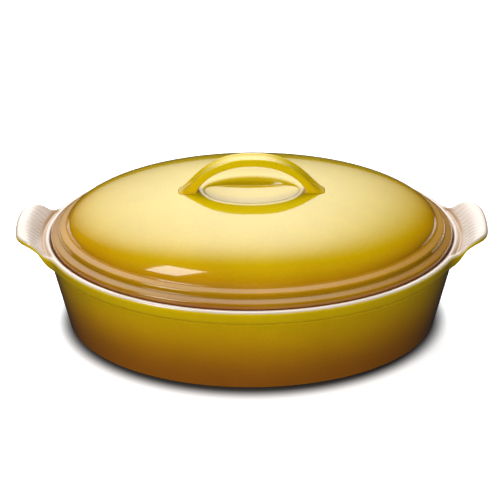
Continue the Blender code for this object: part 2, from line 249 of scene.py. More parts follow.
# The diffuser behind: its edges, where it is brightest, and how far the light spreads from there.
PANEL_ELEVATION = math.radians(37)
PANEL_DISTANCE = 2.1
PANEL_LOW, PANEL_HIGH, PANEL_HALF = -1.5, 3.0, 2.25
PANEL_SPOT = (0.03, 0.68)
PANEL_LEFT = 1.40
PANEL_RIGHT = 0.80
PANEL_UP = 1.02
PANEL_DOWN = 1.55
PANEL_STRENGTH = 3.2
KEY_AIM = Vector((-0.060, -0.099, 0.104))
KEY_WAY = Vector((-0.482, -0.408, 0.775))
KEY_UP = (0.287, 0.357, 0.373)
KEY_DISTANCE = 1.3
KEY_SIZE = (0.39, 0.82)
KEY_POWER = 4.7
# The fills, which give no highlights: name, place, target, size, watts and up.
FILLS = (
    ("front_fill", (-0.25, -2.0, 0.45), (0, 0, 0.05), (1.6, 0.8), 28.0, (0, 0, 1)),
    ("rim_fill", (0.0, 2.2, 0.30), (0, 0, 0.1), (2.4, 0.5), 26.0, (0, 0, 1)),
    ("top_fill", (0.0, 0.9, 1.75), (0, 0, 0.1), (2.2, 1.2), 24.0, (0, 1, 0)),
)

SEAT_HEIGHT = DISH_HEIGHT - SEAT_DEPTH
GROOVE_HEIGHT = DISH_HEIGHT - BAND_DEPTH
LIP_INNER = (LIP_OVAL[0] - LIP_THICKNESS, LIP_OVAL[1] - LIP_THICKNESS)


def mix(a, b, share):
    return a + (b - a) * share


def ease(value):
    value = np.clip(value, 0.0, 1.0)
    return value * value * (3 - 2 * value)


def inset(oval, distance):
    """The oval a distance inside another."""
    return (oval[0] - distance, oval[1] - distance)


def oval_gap(oval, x, y):
    """How far (x, y) lies outside an oval, near enough; negative inside."""
    share = np.hypot(x / oval[0], y / oval[1])
    slope = np.hypot(x / oval[0] ** 2, y / oval[1] ** 2)
    return (share - 1) * share / slope


def ear_gap(x, y):
    """How far (x, y) lies outside the ear's rounded rectangle, seen from above; negative inside."""
    over_x = x + EAR_BOW * (y / EAR_HALF_WIDTH) ** 2 - (EAR_TIP - EAR_CORNER)
    over_y = np.abs(y) - (EAR_HALF_WIDTH - EAR_CORNER)
    outside = np.hypot(np.maximum(over_x, 0), np.maximum(over_y, 0))
    return outside + np.minimum(np.maximum(over_x, over_y), 0) - EAR_CORNER


def outline_gap(x, y):
    """How far (x, y) lies outside the dish's whole outline: the lip's oval melted into the ear."""
    oval, ear = oval_gap(LIP_OVAL, x, y), ear_gap(x, y)
    share = np.clip(0.5 + (ear - oval) / (2 * EAR_MELT), 0.0, 1.0)
    return mix(ear, oval, share) - EAR_MELT * share * (1 - share)


def outline(angles):
    """Where rays from the centre cross the outline, as an array of points."""
    near, far = np.full_like(angles, 0.5 * LIP_OVAL[1]), np.full_like(angles, 1.3 * EAR_TIP)
    for _ in range(OUTLINE_HALVINGS):
        middle = (near + far) / 2
        inside = outline_gap(middle * np.cos(angles), middle * np.sin(angles)) < 0
        near, far = np.where(inside, middle, near), np.where(inside, far, middle)
    return np.stack([near * np.cos(angles), near * np.sin(angles)], 1)


def walked(points):
    """How far along a line each of its points is."""
    steps = np.linalg.norm(np.diff(points, axis=0), axis=1)
    return np.concatenate([[0.0], np.cumsum(steps)])


def along(points, total, distance):
    """The point at a distance along a line."""
    return np.stack([np.interp(distance, total, points[:, k]) for k in range(2)], -1)


def dish_stations():
    """The quarter's outline points, outward normals and oval angles, from the ear's tip to the long side."""
    angles = np.linspace(0, QUARTER, OUTLINE_SAMPLES)
    line = outline(angles)
    oval = np.stack([LIP_OVAL[0] * np.cos(angles), LIP_OVAL[1] * np.sin(angles)], 1)
    line_total, oval_total = walked(line), walked(oval)
    root = EAR_FAN * EAR_HALF_WIDTH
    extra = line_total[-1] - oval_total[-1]
    share = np.linspace(0, 1, DISH_STATIONS + 1)
    distance = line_total[-1] * mix(share, share ** STATION_CROWD, STATION_BIAS)
    here = along(line, line_total, distance)
    ahead = along(line, line_total, np.minimum(distance + TANGENT_PROBE, line_total[-1]))
    behind = along(line, line_total, np.maximum(distance - TANGENT_PROBE, 0.0))
    tangent = (ahead - behind) / np.linalg.norm(ahead - behind, axis=1)[:, None]
    normal = np.stack([tangent[:, 1], -tangent[:, 0]], 1)
    x, y = along(oval, oval_total, distance - extra * ease(distance / root)).T
    angle = np.arctan2(y / LIP_OVAL[1], x / LIP_OVAL[0])
    here[0], normal[0], angle[0] = (EAR_TIP, 0.0), (1.0, 0.0), 0.0
    here[-1], normal[-1], angle[-1] = (0.0, LIP_OVAL[1]), (0.0, 1.0), QUARTER
    return here, normal, angle


def wall_oval(z):
    """The outside of the wall at height z."""
    share = z / GROOVE_HEIGHT
    bulged = share + WALL_BULGE * share * (1 - share)
    groove = inset(LIP_OVAL, GROOVE_INSET)
    return (mix(BASE_OVAL[0], groove[0], share), mix(BASE_OVAL[1], groove[1], bulged))


def shelf_height(x, y, ear):
    """The top of the rim and ear: level along the lip, then a fold, then the ear's rise."""
    beyond = oval_gap(LIP_OVAL, x, y)
    climb = (beyond - EAR_FOLD) / EAR_RUN
    climb = (climb + np.hypot(climb, 0.06)) / 2
    rise = EAR_RISE * np.sin(QUARTER * np.minimum(climb, 1.0))
    valley = EAR_VALLEY * ease(1 - np.abs(beyond - VALLEY_MIDDLE) / VALLEY_HALF_WIDTH)
    return DISH_HEIGHT + ear * (rise - valley)


def flute(x, y, ear):
    """How far the ear's top is pressed in by its flutes."""
    beyond = oval_gap(LIP_OVAL, x, y)
    border = -outline_gap(x, y)
    fan = 1 + FLUTE_FAN * beyond
    wave = 0.5 - 0.5 * np.cos(2 * math.pi * y / (FLUTE_PITCH * fan))
    start = ease((beyond - FLUTE_START[0]) / FLUTE_START[1])
    end = ease((border - FLUTE_END[0]) / FLUTE_END[1])
    depth = mix(FLUTE_SHALLOWEST, 1.0, ease(1 - (beyond - FLUTE_FADE[0]) / FLUTE_FADE[1]))
    return FLUTE_DEPTH * ear * depth * start * end * wave ** FLUTE_SHARPNESS


def round_corner(oval, z, radius, start, end, count):
    """Level ovals round a corner whose centre is that far inside an oval; angles are from straight out."""
    swings = np.linspace(start, end, count + 1)
    return [(inset(oval, radius * (1 - math.cos(s))), z + radius * math.sin(s)) for s in swings]


def oval_ring(oval, z, angle):
    """A quarter of a level oval, as points."""
    return np.stack([oval[0] * np.cos(angle), oval[1] * np.sin(angle), np.full_like(angle, z)], 1)


def soften(net, passes):
    """Cuts the corners along the rings' direction; the first and last rings stay."""
    for _ in range(passes):
        near, far = net[:-1], net[1:]
        cut = np.empty((2 * len(near), *net.shape[1:]))
        cut[0::2] = mix(near, far, 0.25)
        cut[1::2] = mix(near, far, 0.75)
        net = np.concatenate([net[:1], cut, net[-1:]])
    return net


def four_quarters(net):
    """The whole loop from one quarter's stations. The first two channels are x and y."""
    flip_x, flip_y = np.ones(net.shape[2]), np.ones(net.shape[2])
    flip_x[0], flip_y[1] = -1, -1
    return np.concatenate([net, (net * flip_x)[:, -2::-1], (net * flip_x * flip_y)[:, 1:],
                           (net * flip_y)[:, -2:0:-1]], axis=1)


def curvature(mesh):
    """Signed bend at each vertex, about 1 on a convex edge of 2 mm radius and -1 in such a groove."""
    count = len(mesh.vertices)
    co, no = np.zeros(count * 3, np.float32), np.zeros(count * 3, np.float32)
    mesh.vertices.foreach_get("co", co)
    mesh.vertices.foreach_get("normal", no)
    co, no = co.reshape(-1, 3).astype(float), no.reshape(-1, 3).astype(float)
    ends = np.zeros(len(mesh.edges) * 2, np.int32)
    mesh.edges.foreach_get("vertices", ends)
    a, b = ends.reshape(-1, 2).T
    step = co[a] - co[b]
    square = np.maximum((step ** 2).sum(1), 1e-10)
    total, edges = np.zeros(count), np.zeros(count)
    np.add.at(total, a, 2 * (no[a] * step).sum(1) / square)
    np.add.at(total, b, -2 * (no[b] * step).sum(1) / square)
    np.add.at(edges, a, 1)
    np.add.at(edges, b, 1)
    bend = np.clip(total / np.maximum(edges, 1) * BEND_RADIUS, -1, 1)
    for _ in range(BEND_SMOOTHINGS):
        spread = np.zeros(count)
        np.add.at(spread, a, bend[b])
        np.add.at(spread, b, bend[a])
        bend = 0.5 * bend + 0.5 * spread / np.maximum(edges, 1)
    return bend


def store(mesh, name, values):
    """Keeps one number for each vertex, for the glaze to read."""
    made = mesh.attributes.new(name, "FLOAT", "POINT")
    made.data.foreach_set("value", np.asarray(values, np.float32))


def shell(name, net):
    """A closed shell through the rings.

    Channel 3 is how far each point lies past the glaze line, in mm. Channel 4 is painted shade, taken off the
    bend.
    """
    rings, stations = net.shape[:2]
    points = net.reshape(-1, net.shape[2])
    caps = np.stack([net[0].mean(0), net[-1].mean(0)])
    caps[:, :2] = 0.0
    points = np.concatenate([points, caps])
    first, last = len(points) - 2, len(points) - 1
    faces = []
    for r in range(rings - 1):
        low, high = r * stations, (r + 1) * stations
        for i in range(stations):
            j = (i + 1) % stations
            faces.append((low + i, low + j, high + j, high + i))
    top = (rings - 1) * stations
    for i in range(stations):
        j = (i + 1) % stations
        faces.append((first, j, i))
        faces.append((last, top + i, top + j))
    mesh = bpy.data.meshes.new(name)
    mesh.from_pydata(points[:, :3].tolist(), [], faces)
    mesh.update()
    mesh.shade_smooth()
    store(mesh, "skin", points[:, 3])
    # The bend is lowered by channel 4's painted shade, so the glaze darkens there as in a hollow.
    store(mesh, "edge", curvature(mesh) - points[:, 4])
    made = bpy.data.objects.new(name, mesh)
    bpy.context.scene.collection.objects.link(made)
    return made


def with_skin(net, line):
    """Adds the channel of distance past the glaze line, in mm; line is the ring it runs along."""
    steps = np.linalg.norm(np.diff(net[:, :, :3], axis=0), axis=2)
    total = np.concatenate([np.zeros((1, net.shape[1])), np.cumsum(steps, axis=0)])
    return np.concatenate([net, ((total - total[line]) * 1000)[:, :, None]], axis=2)


def dish_net():
    """The dish's rings, from the middle underneath, out and up the wall, over the rim, down to the floor."""
    here, normal, angle = dish_stations()
    x, y = here.T
    beyond = oval_gap(LIP_OVAL, x, y)
    ear = ease(beyond / EAR_BLEND)
    depth = mix(EAR_ROOT_DEPTH, EAR_TIP_DEPTH, np.clip(beyond / (EAR_TIP - LIP_OVAL[0]), 0, 1))
    edge = mix(LIP_ROUND, EAR_EDGE, ear)

    def inward(distance, z):
        return np.stack([x - distance * normal[:, 0], y - distance * normal[:, 1], z], 1)

    foot = inset(wall_oval(FOOT_RADIUS), FOOT_RADIUS)
    inner_foot = inset(foot, FOOT_WIDTH)
    below = [((inner_foot[0] * s, inner_foot[1] * s), FOOT_RECESS) for s in FOOT_SHARES]
    below += [
        (inset(inner_foot, 0.0030), FOOT_RECESS),
        (inset(inner_foot, 0.0008), FOOT_RECESS),
        (inset(inner_foot, 0.0001), 0.0001),
        (inset(inner_foot, -0.0008), 0.0),
        (inset(foot, 0.0006), 0.0),
    ]
    below += round_corner(wall_oval(FOOT_RADIUS), FOOT_RADIUS, FOOT_RADIUS, -QUARTER, 0.0, 4)
    below += [(wall_oval(s * GROOVE_HEIGHT), s * GROOVE_HEIGHT) for s in WALL_SHARES]
    rings = [oval_ring(oval, z, angle) for oval, z in below]

    groove = oval_ring(inset(LIP_OVAL, GROOVE_INSET), GROOVE_HEIGHT, angle)
    cut = oval_ring(inset(LIP_OVAL, GROOVE_INSET + GROOVE_CUT), GROOVE_HEIGHT + 0.0004, angle)
    top_x, top_y = x - edge * normal[:, 0], y - edge * normal[:, 1]
    top = shelf_height(top_x, top_y, ear)
    corners = []
    for (band_inset, band_drop), (ear_inset, depth_share, lift) in zip(BAND_CORNERS, EAR_CORNERS):
        drop = mix(band_drop, depth_share * depth - lift, ear)
        corners.append(inward(mix(band_inset, ear_inset, ear), top - drop))
    under = corners[0]
    rings += [mix(groove, cut, 1 - ear[:, None])]
    for share in UNDERCUT_SHARES:
        rise = math.sqrt(1 - share * share)
        flat = mix(under[:, :2], groove[:, :2], share)
        rings.append(np.column_stack([flat, mix(groove[:, 2], under[:, 2], rise)]))
    rings += corners
    rings.append(inward(mix(0.0007, 0.0, ear), top - mix(0.0065, edge + 0.0006, ear)))
    for turn in RIM_TURNS:
        swing = QUARTER * turn
        rings.append(inward(edge * (1 - math.cos(swing)), top - edge * (1 - math.sin(swing))))
    line = len(rings) - 4
    crest = oval_ring(inset(LIP_OVAL, CREST_INSET), DISH_HEIGHT, angle)
    for share in SHELF_SHARES:
        across = mix(np.stack([top_x, top_y], 1), crest[:, :2], share)
        rings.append(np.column_stack([across, shelf_height(across[:, 0], across[:, 1], ear)]))

    floor_oval = inset(wall_oval(FLOOR_THICKNESS + FLOOR_FILLET), WALL_THICKNESS)
    inside = [
        (inset(LIP_OVAL, CREST_INSET), DISH_HEIGHT),
        (inset(LIP_INNER, -0.0012), DISH_HEIGHT - 0.0003),
        (inset(LIP_INNER, -0.0003), DISH_HEIGHT - 0.0010),
        (LIP_INNER, DISH_HEIGHT - 0.0022),
        (LIP_INNER, SEAT_HEIGHT + 0.0010),
        (inset(LIP_INNER, 0.0002), SEAT_HEIGHT + 0.0003),
        (inset(LIP_INNER, 0.0010), SEAT_HEIGHT),
        (inset(LIP_INNER, SEAT_WIDTH - 0.0012), SEAT_HEIGHT),
        (inset(LIP_INNER, SEAT_WIDTH - 0.0003), SEAT_HEIGHT - 0.0004),
        (inset(LIP_INNER, SEAT_WIDTH), SEAT_HEIGHT - 0.0014),
        (inset(LIP_INNER, SEAT_WIDTH + UPPER_WALL_RUN), SEAT_HEIGHT - UPPER_WALL_DROP),
    ]
    fillet_top = FLOOR_THICKNESS + FLOOR_FILLET
    upper = inset(LIP_INNER, SEAT_WIDTH + UPPER_WALL_RUN)
    for share in INNER_WALL_SHARES:
        inside.append(((mix(upper[0], floor_oval[0], share), mix(upper[1], floor_oval[1], share)),
                       mix(SEAT_HEIGHT - UPPER_WALL_DROP, fillet_top, share)))
    inside += round_corner(floor_oval, fillet_top, FLOOR_FILLET, 0.0, -QUARTER, 6)
    flat = inset(floor_oval, FLOOR_FILLET)
    inside += [((flat[0] * s, flat[1] * s), FLOOR_THICKNESS) for s in INNER_FLOOR_SHARES]
    rings += [oval_ring(oval, z, angle) for oval, z in inside]
    net = with_skin(np.stack(rings), line)
    net[:, :, 3] -= GLAZE_RISE
    net = np.concatenate([net, np.broadcast_to(ear[None, :, None], (*net.shape[:2], 1))], axis=2)
    net = soften(net, 2)
    pressed = flute(net[:, :, 0], net[:, :, 1], net[:, :, 4])
    on_top = ease((net[:, :, 3] - FLUTE_RUN_IN) / FLUTE_RUN_IN) * (net[:, :, 2] > DISH_HEIGHT - SHELF_BELOW)
    net[:, :, 2] -= pressed * on_top
    # Channel 4 turns from the ear's share into a painted shade along the valley beside the lip.
    off_valley = np.abs(oval_gap(LIP_OVAL, net[:, :, 0], net[:, :, 1]) - VALLEY_MIDDLE)
    net[:, :, 4] *= VALLEY_SHADE_PAINT * on_top * ease(1 - off_valley / VALLEY_SHADE_WIDTH)
    net[:, 0, 1], net[:, -1, 0] = 0.0, 0.0
    return four_quarters(net)


def dome_ring(share, thickness=0.0):
    """(oval, height) of the lid's dome at a share of its foot oval, or of the surface that far under it."""
    oval = (share * (DOME_OVAL[0] - thickness), share * (DOME_OVAL[1] - thickness))
    rise = (DOME_TOP - DOME_FOOT - thickness) * math.sqrt(max(1 - share * share, 0.0))
    return oval, DOME_FOOT + rise


def dome_height(x, y):
    """The dome's surface above a point."""
    share = np.clip((x / DOME_OVAL[0]) ** 2 + (y / DOME_OVAL[1]) ** 2, 0, 1)
    return DOME_FOOT + (DOME_TOP - DOME_FOOT) * np.sqrt(1 - share)


def well_ring(climb, thickness=0.0):
    """The same for the finger well, at a share of the way from its floor's edge out to its rim."""
    oval = (WELL_FLOOR[0] + WELL_RUN[0] * climb, WELL_FLOOR[1] + WELL_RUN[1] * climb)
    rim = (WELL_FLOOR[0] + WELL_RUN[0], WELL_FLOOR[1] + WELL_RUN[1])
    reach = math.hypot(rim[0] / DOME_OVAL[0], rim[1] / DOME_OVAL[1]) / math.sqrt(2)
    rise = (dome_ring(reach)[1] - WELL_FLOOR_HEIGHT) * math.sqrt(1 - (1 - climb) ** 2)
    return oval, WELL_FLOOR_HEIGHT + rise - thickness


def lid_net():
    """The lid's rings, from the middle underneath, down the skirt, up the beads and over to the well."""
    seat = SEAT_HEIGHT + 0.0003
    skirt = inset(LIP_INNER, SEAT_WIDTH + 0.0012)
    rings = [((WELL_FLOOR[0] * s, WELL_FLOOR[1] * s), WELL_FLOOR_HEIGHT - LID_THICKNESS)
             for s in UNDER_WELL_SHARES]
    rings += [well_ring(climb, LID_THICKNESS) for climb in UNDER_WELL_CLIMBS]
    rings += [dome_ring(math.sin(QUARTER * turn), LID_THICKNESS) for turn in UNDER_DOME_TURNS]
    rings += [
        (inset(skirt, 0.0054), DOME_FOOT - 0.003),
        (inset(skirt, 0.0051), DOME_FOOT - 0.006),
        (inset(skirt, 0.005), seat - SKIRT_DEPTH + 0.0022),
        (inset(skirt, 0.0047), seat - SKIRT_DEPTH + 0.0006),
        (inset(skirt, 0.0038), seat - SKIRT_DEPTH),
        (inset(skirt, 0.0012), seat - SKIRT_DEPTH),
        (inset(skirt, 0.0003), seat - SKIRT_DEPTH + 0.0006),
        (skirt, seat - SKIRT_DEPTH + 0.0020),
        (skirt, seat - 0.0014),
        (inset(skirt, -0.0003), seat - 0.0003),
        (inset(skirt, -0.0014), seat),
        (inset(FLANGE_OVAL, 0.0014), seat),
        (inset(FLANGE_OVAL, 0.0003), seat + 0.0003),
        (FLANGE_OVAL, seat + 0.0012),
    ]
    line = len(rings) - 2
    rings += [(inset(FLANGE_OVAL, 0.0001), 0.0830), (inset(FLANGE_OVAL, 0.0002), 0.0850)]
    for bead_inset, height, radius in BEADS:
        swing = QUARTER - TREAD_TILT
        rings += round_corner(inset(FLANGE_OVAL, bead_inset), height, radius, 0.1, swing, 6)
        front, rise = bead_inset + radius * (1 - math.cos(swing)), height + radius * math.sin(swing)
        for share in (0.3, 0.7, 1.0):
            across = share * TREAD_WIDTH
            rings.append((inset(FLANGE_OVAL, front + across), rise + across * math.tan(TREAD_TILT)))
        back, tread = front + TREAD_WIDTH, rise + TREAD_WIDTH * math.tan(TREAD_TILT)
        rings.append((inset(FLANGE_OVAL, back + TREAD_COVE), tread + TREAD_COVE))
    rings += [dome_ring(math.sin(QUARTER * turn)) for turn in DOME_TURNS]
    rim = len(rings)
    rings += [well_ring(climb) for climb in WELL_CLIMBS]
    floor = inset(WELL_FLOOR, 0.0006)
    rings += [(floor, WELL_FLOOR_HEIGHT)]
    rings += [((floor[0] * s, floor[1] * s), WELL_FLOOR_HEIGHT) for s in WELL_FLOOR_SHARES]
    angle = np.linspace(0, QUARTER, LID_STATIONS + 1)
    net = np.stack([oval_ring(oval, z, angle) for oval, z in rings])
    for row in range(rim, len(rings)):
        climb = WELL_CLIMBS[row - rim] if row - rim < len(WELL_CLIMBS) else 0.0
        low = WELL_FLOOR_HEIGHT + WELL_LIFT * (net[row, :, 0] / WELL_LIFT_SPAN) ** 2
        high = dome_height(net[row, :, 0], net[row, :, 1])
        net[row, :, 2] = mix(np.minimum(low, high), high, math.sqrt(1 - (1 - climb) ** 2))
    net = with_skin(net, line)
    net[:, :, 3] *= -1
    net = np.concatenate([net, np.zeros((*net.shape[:2], 1))], axis=2)
    net = soften(net, 1)
    net[:, 0, 1], net[:, -1, 0] = 0.0, 0.0
    return four_quarters(net)


def strap_section(share):
    """The strap's section from one foot (-1) over the crown to the other (+1).

    Gives the middle of its top and of its underside, as (x, z), and how far the toe has begun.
    """
    toe = min(max((abs(share) - TOE_START) / (1 - TOE_START), 0.0), 1.0) ** 2
    top = (math.copysign(STRAP_HALF_SPAN * abs(share) + TOE_LENGTH * toe, share),
           HANDLE_TOP - (HANDLE_TOP - STRAP_FOOT_HEIGHT) * abs(share) ** STRAP_POWER)
    arch = HANDLE_TOP - STRAP_THICKNESS - ARCH_SPRING
    turn = ARCH_TURN * share
    under = (ARCH_HALF_SPAN * math.sin(turn), ARCH_SPRING + arch * math.cos(turn))
    return top, under, toe


def strap_outline(thickness, toe):
    """The strap's section as (across, up) points, anticlockwise: dished on top and rounded off at the toe."""
    half = STRAP_WIDTH / 2
    top_round = mix(STRAP_ROUND, TOE_ROUND, toe)
    points = []
    for corner, (sx, sy) in enumerate(((1, 1), (-1, 1), (-1, -1), (1, -1))):
        radius, after = (top_round, STRAP_ROUND) if sy > 0 else (STRAP_ROUND, top_round)
        centre = (sx * (half - radius), sy * (thickness / 2 - radius))
        for i in range(CORNER_STEPS + 1):
            swing = QUARTER * (corner + i / CORNER_STEPS)
            points.append((centre[0] + radius * math.cos(swing), centre[1] + radius * math.sin(swing)))
        if corner in (0, 2):
            points += [(mix(centre[0], -centre[0], i / TOP_STEPS), sy * thickness / 2)
                       for i in range(1, TOP_STEPS)]
        else:
            far = -sy * (thickness / 2 - after)
            points += [(sx * half, mix(centre[1], far, i / SIDE_STEPS)) for i in range(1, SIDE_STEPS)]
    trough = STRAP_TROUGH * (1 - toe)
    return [(across, up - trough * max(1 - (across / (half - STRAP_ROUND)) ** 2, 0.0) * (up > 0))
            for across, up in points]


def strap_handle():
    """The arched strap, cut to the dome it stands on, with its feet flared onto it."""
    net = bmesh.new()
    loops = []
    for i in range(STRAP_STEPS + 1):
        top, under, toe = strap_section(mix(-1.0, 1.0, i / STRAP_STEPS))
        up = (top[0] - under[0], top[1] - under[1])
        thickness = math.hypot(*up)
        middle = ((top[0] + under[0]) / 2, (top[1] + under[1]) / 2)
        loops.append([net.verts.new((middle[0] + rise * up[0] / thickness, across,
                                     middle[1] + rise * up[1] / thickness))
                      for across, rise in strap_outline(thickness, toe)])
    for near, far in zip(loops, loops[1:]):
        for i in range(len(near)):
            after = (i + 1) % len(near)
            net.faces.new((near[i], near[after], far[after], far[i]))
    net.faces.new(loops[0][::-1])
    net.faces.new(loops[-1])
    bmesh.ops.recalc_face_normals(net, faces=net.faces)
    mesh = bpy.data.meshes.new("strap")
    net.to_mesh(mesh)
    net.free()
    made = bpy.data.objects.new("strap", mesh)
    bpy.context.scene.collection.objects.link(made)
    bpy.ops.mesh.primitive_uv_sphere_add(segments=192, ring_count=160, radius=1.0, location=(0, 0, DOME_FOOT))
    dome = bpy.context.object
    dome.scale = (DOME_OVAL[0], DOME_OVAL[1], DOME_TOP - DOME_FOOT)
    cut = made.modifiers.new("seat", "BOOLEAN")
    cut.operation, cut.solver, cut.object = "DIFFERENCE", "EXACT", dome
    graph = bpy.context.evaluated_depsgraph_get()
    seated = bpy.data.meshes.new_from_object(made.evaluated_get(graph))
    for old in (made, dome):
        bpy.data.objects.remove(old)
    net = bmesh.new()
    net.from_mesh(seated)
    bmesh.ops.remove_doubles(net, verts=net.verts, dist=SEAM_MERGE)
    bmesh.ops.dissolve_degenerate(net, edges=net.edges, dist=SEAM_MERGE)
    bmesh.ops.triangulate(net, faces=[face for face in net.faces if len(face.verts) > 4])
    net.to_mesh(seated)
    net.free()

    count = len(seated.vertices)
    co, no = np.zeros(count * 3, np.float32), np.zeros(count * 3, np.float32)
    seated.vertices.foreach_get("co", co)
    seated.vertices.foreach_get("normal", no)
    co, no = co.reshape(-1, 3).astype(float), no.reshape(-1, 3).astype(float)
    clear = co[:, 2] - dome_height(co[:, 0], co[:, 1])
    flat = no[:, :2] / np.maximum(np.linalg.norm(no[:, :2], axis=1), 1e-6)[:, None]
    out = FLARE * np.clip(1 - clear / FLARE, 0, 1) ** 2
    steep = np.clip(np.linalg.norm(no[:, :2], axis=1) * FLARE_STEEPNESS, 0, 1)
    under_foot = (clear < UNDERSIDE_CLEARANCE) & (no[:, 2] < UNDERSIDE_SLOPE)
    out = np.where(under_foot, 0.0, out * steep)
    co[:, :2] += flat * out[:, None]
    co[:, 2] = dome_height(co[:, 0], co[:, 1]) + clear - SINK * ease(1 - clear / SINK_REACH)
    seated.vertices.foreach_set("co", co.astype(np.float32).ravel())
    seated.update()
    seated.shade_smooth()
    store(seated, "skin", np.full(count, SKIN_OF_STRAP))
    store(seated, "edge", curvature(seated))
    made = bpy.data.objects.new("strap_handle", seated)
    bpy.context.scene.collection.objects.link(made)
    return made


class Graph:
    """A short way to write a material's nodes."""

    def __init__(self, name):
        self.material = bpy.data.materials.new(name)
        self.material.use_nodes = True
        self.tree = self.material.node_tree
        self.shader = self.tree.nodes["Principled BSDF"]
        self.place = self.add("ShaderNodeTexCoord").outputs["Object"]

    def only_light(self):
        """Swaps the surface for a plain emission, and gives its node."""
        light = self.add("ShaderNodeEmission")
        self.tree.nodes.remove(self.shader)
        self.put(self.tree.nodes["Material Output"].inputs["Surface"], light.outputs[0])
        return light

    def add(self, kind, **settings):
        node = self.tree.nodes.new(kind)
        for key, value in settings.items():
            setattr(node, key, value)
        return node

    def put(self, socket, value):
        if isinstance(value, bpy.types.NodeSocket):
            self.tree.links.new(value, socket)
        else:
            socket.default_value = value

    def math(self, operation, a, b=0.0):
        node = self.add("ShaderNodeMath", operation=operation)
        self.put(node.inputs[0], a)
        self.put(node.inputs[1], b)
        return node.outputs[0]

    def two_sided(self, value, above, below):
        """A value divided by one width above zero and by another below it."""
        return self.math("ADD", self.math("DIVIDE", self.math("MAXIMUM", value, 0.0), above),
                         self.math("DIVIDE", self.math("MINIMUM", value, 0.0), below))

    def span(self, value, low, high, out_low=0.0, out_high=1.0, smooth=False):
        node = self.add("ShaderNodeMapRange", interpolation_type="SMOOTHSTEP" if smooth else "LINEAR")
        for socket, given in zip(node.inputs, (value, low, high, out_low, out_high)):
            self.put(socket, given)
        return node.outputs[0]

    def attribute(self, name):
        return self.add("ShaderNodeAttribute", attribute_name=name).outputs["Fac"]

    def noise(self, scale, detail=2.0, rough=0.5):
        node = self.add("ShaderNodeTexNoise")
        self.put(node.inputs["Vector"], self.place)
        for key, value in (("Scale", scale), ("Detail", detail), ("Roughness", rough)):
            node.inputs[key].default_value = value
        return node.outputs["Fac"]

    def patches(self, noise, low, high):
        """Noise spread between two values."""
        return self.span(self.noise(*noise), NOISE_LOW, NOISE_HIGH, low, high)

    def blend(self, share, a, b):
        node = self.add("ShaderNodeMix", data_type="RGBA", blend_type="MIX")
        self.put(node.inputs[0], share)
        self.put(node.inputs[6], a)
        self.put(node.inputs[7], b)
        return node.outputs[2]

    def scaled(self, colour, share):
        node = self.add("ShaderNodeVectorMath", operation="SCALE")
        self.put(node.inputs[0], colour)
        self.put(node.inputs["Scale"], share)
        return node.outputs[0]

    def length(self, place):
        node = self.add("ShaderNodeVectorMath", operation="LENGTH")
        self.put(node.inputs[0], place)
        return node.outputs["Value"]

    def ramp(self, value, stops):
        node = self.add("ShaderNodeValToRGB")
        node.color_ramp.interpolation = "B_SPLINE"
        for _ in stops[2:]:
            node.color_ramp.elements.new(0.5)
        for element, (at, colour) in zip(node.color_ramp.elements, stops):
            element.position, element.color = at, (*colour, 1.0)
        self.put(node.inputs[0], value)
        return node.outputs[0]

    def bump(self, height, strength, distance, normal=None):
        node = self.add("ShaderNodeBump")
        node.inputs["Strength"].default_value = strength
        node.inputs["Distance"].default_value = distance
        self.put(node.inputs["Height"], height)
        if normal:
            self.put(node.inputs["Normal"], normal)
        return node.outputs[0]


